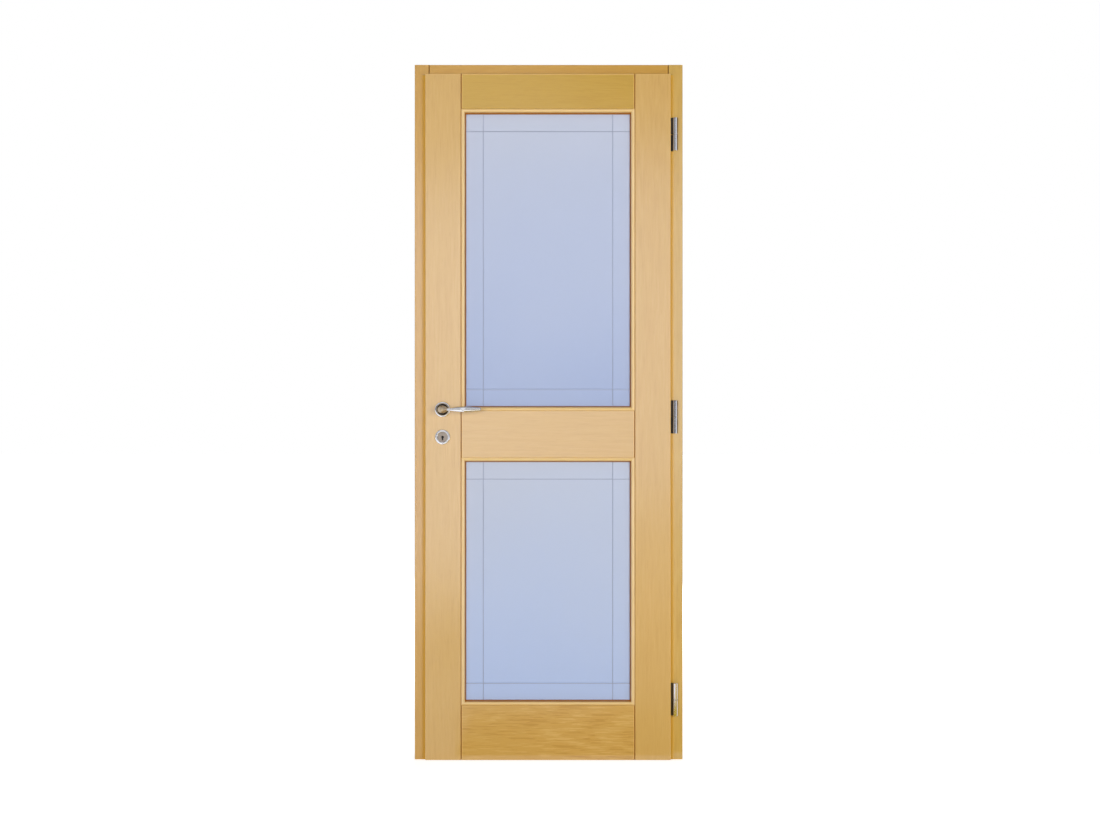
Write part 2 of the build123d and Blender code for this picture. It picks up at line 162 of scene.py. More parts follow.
# Varnished softwood. Scales are features per metre across the grain; along it, a stretch multiplies them.
FIBRE_STRETCH = 0.03
FINE_SCALE = 520.0
FINE_ROUGHNESS = 0.6
PORE_SCALE = 1100.0
STREAK_STRETCH = 0.06
STREAK_SCALE = 170.0
PATCH_STRETCH = 0.3
PATCH_SCALE = 5.0
DRIFT_STRETCH = 0.6
DRIFT_SCALE = 7.0
DRIFT_REACH = 0.035
RING_FIELD_STRETCH = 0.13
RING_FIELD_SCALE = 3.2
RINGS_PER_FIELD = 42.0
RING_SHARE = 0.12
LOW_DETAIL = 1.0
LOW_ROUGHNESS = 0.4
SEED_STEP = (0.37, 0.71, 1.93)

# Levels of the noise at which a feature starts and is full, and how strongly it then shows
FINE_LEVELS = (0.45, 0.25)
PORE_LEVELS = (0.60, 0.74)
CALM_LEVELS = (0.38, 0.62)
WARM_LEVELS = (0.45, 0.68)
DARK_STRENGTH = 0.6
FINE_STRENGTH = 0.25
PORE_STRENGTH = 0.25
WARM_STRENGTH = 0.12

WOOD_LIGHT = srgb(213, 176, 110)
WOOD_BASE = srgb(202, 162, 90)
WOOD_DARK = srgb(175, 130, 59)
WOOD_WARM = srgb(208, 158, 91)
# Painted shade: browns inside the V-grooves at the slab's joints and at the head's joints
GROOVE_SHADE_BROWN = srgb(173, 112, 4)
FRAME_GROOVE_SHADE_BROWN = srgb(112, 62, 4)
# Painted shade: the brown of the beads' shaded inner sides where they meet the glass
GLAZING_SHADE_BROWN = srgb(168, 102, 3)
# Painted shadow: the gold of the band where the slab's proud lip shades the jambs
LIP_SHADOW_GOLD = srgb(226, 171, 50)
# Painted shade: the dark brown inside the key bore, for the shade in the hole
BORE_SHADE_BROWN = srgb(30, 22, 14)
# Painted highlight: the pale tone along the slab's rounded edges and the rails' ends
EDGE_HIGHLIGHT = srgb(222, 180, 104)
SHADE_SOFTNESS = 0.0005
JOINT_REACH = 0.002


class Hollow:
    """Painted shade in hollows: dark brown without coat, from a start to an end depth below a board's faces.

    It is only near the joints and above the height that it names, if it names them.
    """

    drops_coat = True

    def __init__(self, faces, start, end, colour, joints=(), above=None):
        self.low_y, self.high_y = faces
        self.start, self.end = start, end
        self.colour, self.joints, self.above = colour, joints, above

    def share(self, tree, place):
        parts = tree.parts(place)
        from_front = tree.math("SUBTRACT", parts["Y"], self.low_y)
        from_back = tree.math("SUBTRACT", self.high_y, parts["Y"])
        depth = tree.math("MINIMUM", from_front, from_back)
        share = tree.remap(depth, self.start, self.start + SHADE_SOFTNESS)
        share = tree.math("MULTIPLY", share, tree.math("LESS_THAN", depth, self.end))
        if self.joints:
            near = 0.0
            for joint in self.joints:
                at_joint = tree.math("LESS_THAN", tree.gap(parts["X"], joint), JOINT_REACH)
                near = tree.math("MAXIMUM", near, at_joint)
            share = tree.math("MULTIPLY", share, near)
        if self.above is not None:
            share = tree.math("MULTIPLY", share, tree.math("GREATER_THAN", parts["Z"], self.above))
        return share


class Bore:
    """Painted shade around a hole that runs along Y: dark brown wood without the coat."""

    drops_coat = True

    def __init__(self, centre, radius, colour):
        self.centre, self.radius, self.colour = centre, radius, colour

    def share(self, tree, place):
        return tree.math("LESS_THAN", tree.distance(place, self.centre, (1, 0, 1)), self.radius)


class Edges:
    """Painted highlights and shadows along upright edges, and along a level one if it names its height.

    core is the share of the reach that has the full shade, and the flag for the coat says that it drops the
    gloss.
    limits are a height and a depth: the shade stays below and in front of them.
    """

    def __init__(
        self, edges, reach, top=None, strength=0.8, colour=EDGE_HIGHLIGHT, core=0.6, drops_coat=False, limits=()
    ):
        self.edges, self.reach, self.top, self.limits = edges, reach, top, limits
        self.strength, self.colour, self.core, self.drops_coat = strength, colour, core, drops_coat

    def share(self, tree, place):
        parts = tree.parts(place)
        lines = [("X", edge) for edge in self.edges]
        if self.top is not None:
            lines.append(("Z", self.top))
        share = 0.0
        for axis, line in lines:
            beside = tree.remap(tree.gap(parts[axis], line), self.reach, self.core * self.reach)
            share = tree.math("MAXIMUM", share, beside)
        for axis, limit in zip("ZY", self.limits):
            share = tree.math("MULTIPLY", share, tree.math("LESS_THAN", parts[axis], limit))
        return tree.math("MULTIPLY", share, self.strength)


def board_place(tree, here, grain, seed):
    """A place with the grain along Z, each seed in another stretch of the tree."""
    place = here
    if grain == "X":
        place = tree.mapping(place, rotation=(0, math.radians(90), 0))
    return tree.mapping(place, location=tuple(seed * step for step in SEED_STEP))


def wandering(tree, place, drift):
    """The place moved across the grain by a slow noise, so that the fibres wander."""
    stretched = tree.mapping(place, scale=(1, 1, DRIFT_STRETCH))
    slow = tree.noise(stretched, DRIFT_SCALE, LOW_DETAIL, LOW_ROUGHNESS)
    sideways = tree.math("MULTIPLY", tree.math("SUBTRACT", slow, 0.5), DRIFT_REACH * drift)
    offset = tree.add("ShaderNodeCombineXYZ", {"X": sideways}).outputs["Vector"]
    return tree.vectors("ADD", place, offset)


def growth_rings(tree, place):
    """Rings from 0 to 1, as the contours of a slow field."""
    stretched = tree.mapping(place, scale=(1, 1, RING_FIELD_STRETCH))
    field = tree.noise(stretched, RING_FIELD_SCALE, LOW_DETAIL, LOW_ROUGHNESS)
    turns = tree.math("MULTIPLY", field, 2 * math.pi * RINGS_PER_FIELD)
    return tree.remap(tree.math("SINE", turns), -1.0, 1.0)


def wood(
    name, grain, seed, figure=1.0, drift=0.0, tone=None, streaks=STREAK_SCALE, calm=0.35, gloss=0.20,
    light=(0.53, 0.62), dark=(0.45, 0.36), painted_light=(),
):
    """Softwood under varnish.

    figure sets how strongly the grain shows, calm the share of that in its quiet patches, and drift
    how far it wanders; light and dark are the levels of the streaks' noise at which they start and are
    full. The tone multiplies the colour; painted shade, shadows and highlights are then laid over it in turn.
    """
    material, tree = new_material(name)
    here = tree.here()
    board = board_place(tree, here, grain, seed)
    bent = wandering(tree, board, drift)
    fibres = tree.mapping(bent, scale=(1, 1, FIBRE_STRETCH))
    fine = tree.noise(fibres, FINE_SCALE, roughness=FINE_ROUGHNESS)
    pores = tree.remap(tree.noise(fibres, PORE_SCALE, LOW_DETAIL), *PORE_LEVELS)
    streaky = tree.noise(tree.mapping(bent, scale=(1, 1, STREAK_STRETCH)), streaks)
    rings = tree.math("MULTIPLY", growth_rings(tree, board), RING_SHARE)
    figured = tree.math("ADD", rings, tree.math("MULTIPLY", streaky, 1 - RING_SHARE))
    patches = tree.noise(tree.mapping(board, scale=(1, 1, PATCH_STRETCH)), PATCH_SCALE)
    strength = tree.remap(patches, *CALM_LEVELS, calm * figure, figure)
    light_share = tree.math("MULTIPLY", tree.remap(figured, *light), strength)
    dark_share = tree.math("MULTIPLY", tree.remap(figured, *dark), strength)

    colour = tree.blend(light_share, WOOD_BASE, WOOD_LIGHT)
    for share, most in (
        (dark_share, DARK_STRENGTH),
        (tree.remap(fine, *FINE_LEVELS), FINE_STRENGTH),
        (pores, PORE_STRENGTH),
    ):
        colour = tree.blend(tree.math("MULTIPLY", share, most), colour, WOOD_DARK)
    colour = tree.blend(tree.remap(patches, *WARM_LEVELS, 0.0, WARM_STRENGTH), colour, WOOD_WARM)
    if tone:
        colour = tree.blend(1.0, colour, (*tone, 1.0), "MULTIPLY")

    coat = 1.0
    for painted_mark in painted_light:
        share = painted_mark.share(tree, here)
        colour = tree.blend(share, colour, painted_mark.colour)
        # Painted shade drops the coat where it lies, so the varnish's gloss goes with it
        if painted_mark.drops_coat:
            coat = tree.math("SUBTRACT", coat, share, clamp=True)

    height = tree.math("ADD", tree.math("MULTIPLY", fine, 0.5), tree.math("MULTIPLY", figured, 0.5))
    normal = tree.bump(height, 0.10, 0.0004)
    tree.principled({
        "Base Color": colour,
        "Roughness": tree.remap(fine, 0.3, 0.7, 0.28, 0.36),
        "Specular IOR Level": 0.3,
        "Coat Weight": coat,
        "Coat Roughness": gloss,
        "Coat IOR": 1.6,
        "Normal": normal,
        "Coat Normal": normal,
    })
    return material


# Panes. The engraved lines' shade lies this far in from the pane's own edges: on the grooves, except at the
# foot, where it lies just below the groove, as the photograph has it. Glass has a shade at its top and foot.
LINE_INSET = 0.062
FOOT_LINE_INSET = 0.0593
LINE_HALF_WIDTH = 0.0010
# Painted light: each pane's colour runs from one shade at its foot to another at its top
GLASS_LIGHT_GRADIENT = {
    "upper_glass": (srgb(191, 197, 214), srgb(164, 178, 211)),
    "lower_glass": (srgb(194, 201, 218), srgb(184, 201, 235)),
}
GLASS_LINE = srgb(162, 169, 192)
TOOTH_SCALE = 2600.0
TOOTH_ROUGHNESS = 0.6
CLOUD_SCALE = 1.6
CLOUD_LEVELS = (0.35, 0.65)
CLOUD_SHIFT = 0.08
FROSTED_ROUGHNESS = 0.45
ENGRAVED_ROUGHNESS = 0.30


def engraved_lines(tree, parts, low, high):
    """1 on the two upright and two level lines that cross near a pane's corners, and 0 elsewhere."""
    engraved = [
        ("X", low.x + LINE_INSET),
        ("X", high.x - LINE_INSET),
        ("Z", low.z + FOOT_LINE_INSET),
        ("Z", high.z - LINE_INSET),
    ]
    lines = 0.0
    for axis, line in engraved:
        on_line = tree.math("LESS_THAN", tree.gap(parts[axis], line), LINE_HALF_WIDTH)
        lines = tree.math("MAXIMUM", lines, on_line)
    return lines


def frosted_glass(node):
    """Acid-frosted glass, cold, with a painted light gradient, a very fine tooth and smoother engraved lines.
    """
    material, tree = new_material(f"frosted_{node}")
    low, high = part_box(node)
    here = tree.here()
    parts = tree.parts(here)
    lines = engraved_lines(tree, parts, low, high)
    tooth = tree.noise(here, TOOTH_SCALE, roughness=TOOTH_ROUGHNESS)
    cloud = tree.remap(tree.noise(here, CLOUD_SCALE), *CLOUD_LEVELS, -CLOUD_SHIFT, CLOUD_SHIFT)
    at_top, at_foot = GLASS_LIGHT_GRADIENT[node]
    height = tree.remap(parts["Z"], low.z, high.z)
    colour = tree.blend(tree.math("ADD", height, cloud, clamp=True), at_foot, at_top)
    tree.principled({
        "Base Color": tree.blend(lines, colour, GLASS_LINE),
        "Roughness": tree.remap(lines, 0.0, 1.0, FROSTED_ROUGHNESS, ENGRAVED_ROUGHNESS),
        "Transmission Weight": 0.25,
        "IOR": 1.45,
        "Normal": tree.bump(tooth, 0.08, 0.0002),
    })
    return material


# Metal, plain and plated; the hinge leaves are painted dark and rough, as painted shade of their slot
CHROME = srgb(224, 225, 230)
HINGE_PLATING = srgb(220, 221, 228)
BRUSHED_GREY = srgb(190, 188, 184)
SCREW_GREY = srgb(206, 206, 206)
KEYWAY_GREY = srgb(64, 60, 56)
SATIN_NICKEL = srgb(190, 175, 152)
SATIN_GREY = srgb(190, 178, 168)
# Painted shade: the hinge leaves beside the knuckles are painted this dark for the shade in their slot
SLOT_SHADE_DARK = srgb(84, 76, 68)
EDGE_SOFTNESS = 0.0004
MARK_SCALE = 900.0
MARK_DETAIL = 3.0
MARK_ROUGHNESS = 0.6
MARK_DEPTH = 0.02
SMEAR_SCALE = 60.0
SMEAR_SHADE = 0.93
SATIN_EXTRA_ROUGHNESS = 0.38
SLOT_SHADE_EXTRA_ROUGHNESS = 0.25


def metal(name, colour, roughness, brushed=0.0, satin=None, polished=None):
    """Plated metal with faint polishing marks.

    satin is a centre, seen along Y, a radius inside which the finish is duller, and its colour;
    polished is an upright axis and a radius outside which the metal is painted dark and rough: painted shade.
    """
    material, tree = new_material(name)
    here = tree.here()
    marks = tree.noise(here, MARK_SCALE, MARK_DETAIL, MARK_ROUGHNESS)
    smears = tree.noise(here, SMEAR_SCALE)
    smeared = (*(SMEAR_SHADE * channel for channel in colour[:3]), 1.0)
    tinted = tree.blend(smears, colour, smeared)
    rough = tree.remap(smears, 0.3, 0.7, roughness - 0.02, roughness + 0.03)
    if satin:
        centre, radius, dull = satin
        distance = tree.distance(here, centre, (1, 0, 1))
        inside = tree.remap(distance, radius - EDGE_SOFTNESS, radius + EDGE_SOFTNESS, 1.0, 0.0)
        tinted = tree.blend(inside, tinted, dull)
        rough = tree.math("ADD", rough, tree.math("MULTIPLY", inside, SATIN_EXTRA_ROUGHNESS))
    if polished:
        centre, radius = polished
        distance = tree.distance(here, centre, (1, 1, 0))
        outside = tree.remap(distance, radius - EDGE_SOFTNESS, radius + EDGE_SOFTNESS)
        tinted = tree.blend(outside, tinted, SLOT_SHADE_DARK)
        rough = tree.math("ADD", rough, tree.math("MULTIPLY", outside, SLOT_SHADE_EXTRA_ROUGHNESS))
    tree.principled({
        "Base Color": tinted,
        "Metallic": 1.0,
        "Roughness": rough,
        "Normal": tree.bump(marks, MARK_DEPTH + brushed, 0.0002),
    })
    return material


def nylon():
    """Matt black nylon with a faint moulded grain."""
    material, tree = new_material("black_nylon")
    grain = tree.noise(tree.here(), 1800.0)
    tree.principled({
        "Base Color": tree.blend(grain, srgb(22, 21, 21), srgb(30, 29, 28)),
        "Roughness": 0.5,
        "Normal": tree.bump(grain, 0.15, 0.0001),
    })
    return material


FINE_BEVEL = 0.0003
LEVER_BEVEL = 0.0002
FRAME_BEVEL = 0.0006


def dress(node, material, bevel=FINE_BEVEL):
    """Give a fixed node its material and eased edges."""
    piece = nodes[node]
    piece.data.materials.clear()
    piece.data.materials.append(material)
    if bevel:
        easing = piece.modifiers.new("eased_edges", "BEVEL")
        easing.width = bevel
        easing.segments = 2
        easing.limit_method = "ANGLE"
        easing.angle_limit = CRISP_ANGLE


# Painted shade, shadows and highlights on the boards
KEY_BORE_RADIUS = 0.009
BAND_DEPTH = 0.003
slab_faces = (SLAB_LOW.y, SLAB_HIGH.y)
frame_faces = (HEAD_LOW.y, HEAD_HIGH.y)
slab_joints = (RAIL_LOW.x, RAIL_HIGH.x)
frame_joints = (HEAD_LOW.x, HEAD_HIGH.x)
# Painted shade inside the V-grooves at the slab's joints and at the head's joints with the jambs
slab_groove_shade = Hollow(slab_faces, 0.0005, 0.005, GROOVE_SHADE_BROWN, slab_joints)
frame_groove_shade = Hollow(frame_faces, 0.0004, 0.0035, FRAME_GROOVE_SHADE_BROWN, frame_joints, above=HEAD_LOW.z)
# Painted shade on the beads' inner sides next to the glass, from 4 to 20 mm deep
glazing_shade = Hollow(slab_faces, 0.0040, 0.020, GLAZING_SHADE_BROWN)
# Painted shade inside the key bore
key_bore_shade = Bore(KEY_CENTRE, KEY_BORE_RADIUS, BORE_SHADE_BROWN)
# Painted highlights along the slab's outer edges and top, and along the rails' ends by the joints
latch_edge_highlight = Edges([SLAB_LOW.x], 0.0030, top=SLAB_HIGH.z)
hinge_edge_highlight = Edges([HINGE_STILE_HIGH.x], 0.0030, top=SLAB_HIGH.z)
rail_end_highlight = Edges(slab_joints, 0.0040)
top_rail_edge_highlight = Edges(slab_joints, 0.0040, top=SLAB_HIGH.z)
# Painted shadow of the slab's proud lip on the jambs beside it, without the coat, below the slab's top
lip_shadow = dict(
    strength=0.9, colour=LIP_SHADOW_GOLD, core=0.4, drops_coat=True, limits=(SLAB_HIGH.z, HEAD_LOW.y + BAND_DEPTH)
)
hinge_side_lip_shadow = Edges([HINGE_STILE_HIGH.x], 0.012, **lip_shadow)
latch_side_lip_shadow = Edges([SLAB_LOW.x], 0.014, **lip_shadow)

# Each wooden piece is cut from its own board
# Tones darken and yellow the frame and the outer rails: partly their own tone, partly painted shade
BOARDS = {
    "hinge_jamb": dict(
        grain="Z", seed=3, figure=0.4, drift=0.3, tone=(0.94, 0.96, 0.74),
        painted_light=[hinge_side_lip_shadow, frame_groove_shade],
    ),
    "latch_jamb": dict(
        grain="Z", seed=5, figure=0.4, drift=0.3, tone=(0.90, 0.81, 0.48),
        painted_light=[latch_side_lip_shadow, frame_groove_shade],
    ),
    "head_jamb": dict(
        grain="X", seed=8, figure=0.4, drift=0.2, tone=(0.92, 0.82, 0.42), painted_light=[frame_groove_shade]
    ),
    "latch_stile": dict(
        grain="Z", seed=11, figure=0.25, drift=0.2, painted_light=[latch_edge_highlight, slab_groove_shade, key_bore_shade]
    ),
    "hinge_stile": dict(grain="Z", seed=14, figure=0.25, drift=0.2, painted_light=[hinge_edge_highlight, slab_groove_shade]),
    "top_rail": dict(
        grain="X", seed=17, figure=0.25, drift=0.2, streaks=300, tone=(0.87, 0.85, 0.36),
        painted_light=[top_rail_edge_highlight, slab_groove_shade],
    ),
    "mid_rail": dict(grain="X", seed=21, figure=0.15, drift=0.3, painted_light=[rail_end_highlight, slab_groove_shade]),
    "bottom_rail": dict(
        grain="X", seed=25, figure=1.0, drift=0.10, streaks=290, calm=0.55, tone=(0.96, 0.92, 0.76),
        light=(0.58, 0.61), dark=(0.41, 0.385), painted_light=[rail_end_highlight, slab_groove_shade],
    ),
}
# Beads lighter and paler than the boards, upright ones most: partly own tone, partly painted highlight
UPRIGHT_BEAD_TONE_AND_HIGHLIGHT = (1.32, 1.54, 2.50)
LEVEL_BEAD_TONE_AND_HIGHLIGHT = (1.20, 1.32, 1.65)


def dress_boards():
    for node, board in BOARDS.items():
        kind = node.split("_")[-1]
        bevel = FRAME_BEVEL if kind == "jamb" else FINE_BEVEL
        dress(node, wood(f"{node}_wood", **board), bevel)


def dress_beads():
    """Glazing beads, with the grain along each and painted shade, a brown line, where each meets the glass.
    """
    shared = dict(figure=0.3, gloss=0.3, painted_light=[glazing_shade])
    upright = wood("bead_wood_upright", "Z", 31, tone=UPRIGHT_BEAD_TONE_AND_HIGHLIGHT, **shared)
    level = wood("bead_wood_level", "X", 34, tone=LEVEL_BEAD_TONE_AND_HIGHLIGHT, **shared)
    for light in ("upper", "lower"):
        for face in ("front", "back"):
            for side, material in (("left", upright), ("right", upright), ("top", level), ("bottom", level)):
                dress(f"{light}_{face}_bead_{side}", material)


# Radii between one finish of the metal and another; at the knuckle, between polish and painted shade
NECK_SATIN_RADIUS = 0.0165
KEY_DISC_SATIN_RADIUS = 0.0150
KNUCKLE_POLISH_RADIUS = 0.0074


def dress_metal():
    chrome = metal("handle_chrome", CHROME, 0.09, satin=(HANDLE_CENTRE, NECK_SATIN_RADIUS, SATIN_NICKEL))
    key_plate = metal("key_plate_chrome", CHROME, 0.09, satin=(KEY_CENTRE, KEY_DISC_SATIN_RADIUS, SATIN_GREY))
    hinge = metal("polished_hinge_steel", HINGE_PLATING, 0.11, polished=(HINGE_AXIS, KNUCKLE_POLISH_RADIUS))
    brushed = metal("brushed_steel", BRUSHED_GREY, 0.32, 0.05)
    for number in (1, 2, 3):
        dress(f"hinge_frame_leaf_{number}", hinge)
        dress(f"hinge_door_leaf_{number}", hinge)
    for side in ("front", "back"):
        dress(f"rose_{side}", chrome)
        dress(f"lever_{side}", chrome, LEVER_BEVEL)
        dress(f"escutcheon_{side}", key_plate)
    for node in ("lock_forend", "strike_plate", "latch_bolt", "dead_bolt", "spindle"):
        dress(node, brushed)


def smooth_nodes():
    """Shade the fixed nodes smooth between their crisp edges."""
    for piece in nodes.values():
        piece.data.shade_smooth()
        smoothing = piece.modifiers.new("smooth_by_angle", "WEIGHTED_NORMAL")
        smoothing.keep_sharp = True


def add_piece(name, shape, material, body):
    """An object made from a finished shape, which moves with one of the set's bodies."""
    mesh = bpy.data.meshes.new(name)
    shape.to_mesh(mesh)
    shape.free()
    mesh.materials.append(material)
    piece = bpy.data.objects.new(name, mesh)
    bpy.context.scene.collection.objects.link(piece)
    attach(piece, body)


# Screws: a low dome with a cross recess, seated on a plate
SCREW_RADIUS = 0.0036
SCREW_RISE = 0.0006
DOME_SHARES = (0.72, 0.90, 1.0)
CROSS_REACH = 0.0020
CROSS_HALF_WIDTH = 0.0005
CROSS_DEPTH = 0.0005
CROSS_TAPER = 0.8
SCREW_FROM_END = 0.011
SCREW_FROM_BACK = 0.009
LEAF_THICKNESS = 0.0025
LEAF_SCREW_TURN = 0.4
PLATE_SCREW_TURN = 0.7


def cross_outline():
    """The recess's outline, in order around its four arms."""
    outline = []
    for quarter in range(4):
        across = Matrix.Rotation(quarter * math.pi / 2, 3, "Z")
        outline.append(across @ Vector((CROSS_REACH, -CROSS_HALF_WIDTH, 0)))
        outline.append(across @ Vector((CROSS_REACH, CROSS_HALF_WIDTH, 0)))
        outline.append(across @ Vector((CROSS_HALF_WIDTH, CROSS_HALF_WIDTH, 0)))
    return outline


def dome_height(radius):
    """Height of the head's dome above the plate at a radius."""
    return SCREW_RISE * (1 - (radius / SCREW_RADIUS) ** 2)


def screw_head():
    """A raised countersunk head that faces up."""
    outline = cross_outline()
    shape = bmesh.new()
    floor_height = dome_height(0) - CROSS_DEPTH
    floor = [shape.verts.new((v.x * CROSS_TAPER, v.y * CROSS_TAPER, floor_height)) for v in outline]
    rings = [floor, [shape.verts.new((v.x, v.y, dome_height(v.length))) for v in outline]]
    for share in DOME_SHARES:
        around = [v.normalized() * SCREW_RADIUS * share for v in outline]
        height = dome_height(SCREW_RADIUS * share)
        rings.append([shape.verts.new((v.x, v.y, height)) for v in around])
    shape.faces.new(floor)
    for inner, outer in zip(rings, rings[1:]):
        for i in range(len(outline)):
            j = (i + 1) % len(outline)
            shape.faces.new((inner[i], outer[i], outer[j], inner[j]))
    shape.faces.new(list(reversed(rings[-1])))
    bmesh.ops.recalc_face_normals(shape, faces=shape.faces)
    return shape


def add_screw_pair(name, body, material, turn, facing, x, y, ends):
    """Two screws on a plate's face at x, one near each of its ends, each turned a little further."""
    low_z, high_z = ends
    faced = Vector(facing).to_track_quat("Z", "Y").to_matrix()
    for number, z in enumerate((low_z + SCREW_FROM_END, high_z - SCREW_FROM_END), start=1):
        shape = screw_head()
        rotated = faced @ Matrix.Rotation(turn * number, 3, "Z")
        place = Matrix.Translation((x, y, z)) @ rotated.to_4x4()
        bmesh.ops.transform(shape, matrix=place, verts=shape.verts)
        add_piece(f"{name}_{number}", shape, material, body)


def add_screws():
    """Screws in the hidden part of each hinge leaf, in the forend and in the strike plate."""
    steel = metal("screw_steel", SCREW_GREY, 0.22, 0.03)
    door_leaf_low, door_leaf_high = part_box("hinge_door_leaf_1")
    leaf_length = door_leaf_high.z - door_leaf_low.z
    for number in (1, 2, 3):
        low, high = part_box(f"hinge_door_leaf_{number}")
        add_screw_pair(
            f"door_leaf_{number}_screw", "door", steel, LEAF_SCREW_TURN, (1, 0, 0),
            low.x + LEAF_THICKNESS, high.y - SCREW_FROM_BACK, (low.z, high.z),
        )
        low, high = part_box(f"hinge_frame_leaf_{number}")
        add_screw_pair(
            f"frame_leaf_{number}_screw", "frame", steel, LEAF_SCREW_TURN, (-1, 0, 0),
            low.x, high.y - SCREW_FROM_BACK, (low.z, low.z + leaf_length),
        )
    for node, body, facing in (("lock_forend", "door", (-1, 0, 0)), ("strike_plate", "frame", (1, 0, 0))):
        low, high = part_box(node)
        face_x = low.x if facing[0] < 0 else high.x
        add_screw_pair(
            f"{node}_screw", body, steel, PLATE_SCREW_TURN, facing,
            face_x, (low.y + high.y) / 2, (low.z, high.z),
        )


# Turned pieces around the handle and in the key bore. A profile is radii and heights, closed.
RING_PROFILE = [
    (0.0113, 0.0), (0.0158, 0.0), (0.0158, 0.0007), (0.0155, 0.0010), (0.0116, 0.0010), (0.0113, 0.0007),
]
BOSS_PROFILE = [
    (0.0080, 0.0), (0.0108, 0.0), (0.0115, 0.0008), (0.0116, 0.0020), (0.0112, 0.0036), (0.0100, 0.0050),
    (0.0080, 0.0058),
]
KEYWAY_PROFILE = [
    (0.0, 0.0), (0.0080, 0.0), (0.0080, 0.0008), (0.0022, 0.0008), (0.0020, 0.0020), (0.0, 0.0022),
]
TURNED_SIDES = 72
ROSE_FLOOR = 0.004
BOSS_FLOOR = 0.0054
BOSS_WIDENING = 1.33
KEYWAY_GAP = 0.004
MERGE_DISTANCE = 1e-6


def turned(centre, face_y, outward, profile, widening=1.0):
    """A closed profile turned about an axis along Y, with its foot at face_y; widening stretches it in X."""
    shape = bmesh.new()
    rows = []
    for side in range(TURNED_SIDES):
        angle = 2 * math.pi * side / TURNED_SIDES
        row = []
        for radius, height in profile:
            x = centre.x + widening * radius * math.cos(angle)
            z = centre.z + radius * math.sin(angle)
            row.append(shape.verts.new((x, face_y + outward * height, z)))
        rows.append(row)
    for side in range(TURNED_SIDES):
        this, following = rows[side], rows[(side + 1) % TURNED_SIDES]
        for i in range(len(profile)):
            j = (i + 1) % len(profile)
            shape.faces.new((this[i], this[j], following[j], following[i]))
    bmesh.ops.remove_doubles(shape, verts=shape.verts, dist=MERGE_DISTANCE)
    bmesh.ops.recalc_face_normals(shape, faces=shape.faces)
    for face in shape.faces:
        face.smooth = True
    for edge in shape.edges:
        edge.smooth = edge.calc_face_angle(0.0) < CRISP_ANGLE
    return shape


def add_turned_pieces():
    """Each face's bearing ring in the rose, boss around the lever's neck and plate in the key bore."""
    black_nylon = nylon()
    satin_boss = metal("satin_boss", SATIN_NICKEL, 0.45)
    dark_steel = metal("dark_keyway_steel", KEYWAY_GREY, 0.45)
    stile_middle = (SLAB_LOW.y + SLAB_HIGH.y) / 2
    for face, face_y, outward in (("front", SLAB_LOW.y, -1), ("back", SLAB_HIGH.y, 1)):
        ring = turned(HANDLE_CENTRE, face_y + outward * ROSE_FLOOR, outward, RING_PROFILE)
        add_piece(f"bearing_ring_{face}", ring, black_nylon, "door")
        boss = turned(HANDLE_CENTRE, face_y + outward * BOSS_FLOOR, outward, BOSS_PROFILE, BOSS_WIDENING)
        add_piece(f"lever_boss_{face}", boss, satin_boss, "handle")
        keyway = turned(KEY_CENTRE, stile_middle + outward * KEYWAY_GAP, outward, KEYWAY_PROFILE)
        add_piece(f"keyway_{face}", keyway, dark_steel, "door")


# Stage. The floor glows towards white from the first distance to the second.
FLOOR_HALF = 30.0
FLOOR_COLOUR = (0.8, 0.8, 0.8, 1.0)
FLOOR_GLOW_NEAR = 0.72
FLOOR_GLOW_FAR = 1.0
FLOOR_GLOW_DISTANCES = (1.0, 3.0)
WORLD_FILL = 0.08


def seen_directly(tree):
    """1 for what the camera sees, straight or by way of metal or glass."""
    path = tree.add("ShaderNodeLightPath").outputs
    seen = tree.math("MAXIMUM", path["Is Camera Ray"], path["Is Glossy Ray"])
    return tree.math("MAXIMUM", seen, path["Is Transmission Ray"])


def level_corners(x, y, z):
    """Corners of a level panel from pairs of x and y and a height."""
    return [(x[0], y[0], z), (x[1], y[0], z), (x[1], y[1], z), (x[0], y[1], z)]


def add_panel(name, corners, material):
    mesh = bpy.data.meshes.new(name)
    mesh.from_pydata(corners, [], [(0, 1, 2, 3)])
    mesh.materials.append(material)
    panel = bpy.data.objects.new(name, mesh)
    bpy.context.scene.collection.objects.link(panel)
    return panel


def build_floor():
    """A pale floor that reads as white and keeps the door's shadow."""
    material, tree = new_material("pale_floor")
    diffuse = tree.add("ShaderNodeBsdfDiffuse", {"Color": FLOOR_COLOUR})
    away = tree.distance(tree.here(), (CAMERA_X, 0, 0), (1, 1, 0))
    level = tree.remap(away, *FLOOR_GLOW_DISTANCES, FLOOR_GLOW_NEAR, FLOOR_GLOW_FAR)
    glow = tree.add("ShaderNodeEmission", {"Strength": tree.math("MULTIPLY", seen_directly(tree), level)})
    both = tree.add("ShaderNodeAddShader", {0: diffuse.outputs[0], 1: glow.outputs[0]})
    tree.surface(both.outputs[0])
    reach = (-FLOOR_HALF, FLOOR_HALF)
    add_panel("floor", level_corners(reach, reach, 0), material)


def build_world():
    """White for the camera and for reflections; a plain grey level for soft light."""
    world = bpy.data.worlds.new("studio")
    bpy.context.scene.world = world
    tree = Tree(world)
    strength = tree.remap(seen_directly(tree), 0.0, 1.0, WORLD_FILL, 1.0)
    background = tree.add("ShaderNodeBackground", {"Color": (1, 1, 1, 1), "Strength": strength})
    tree.surface(background.outputs[0], "ShaderNodeOutputWorld")


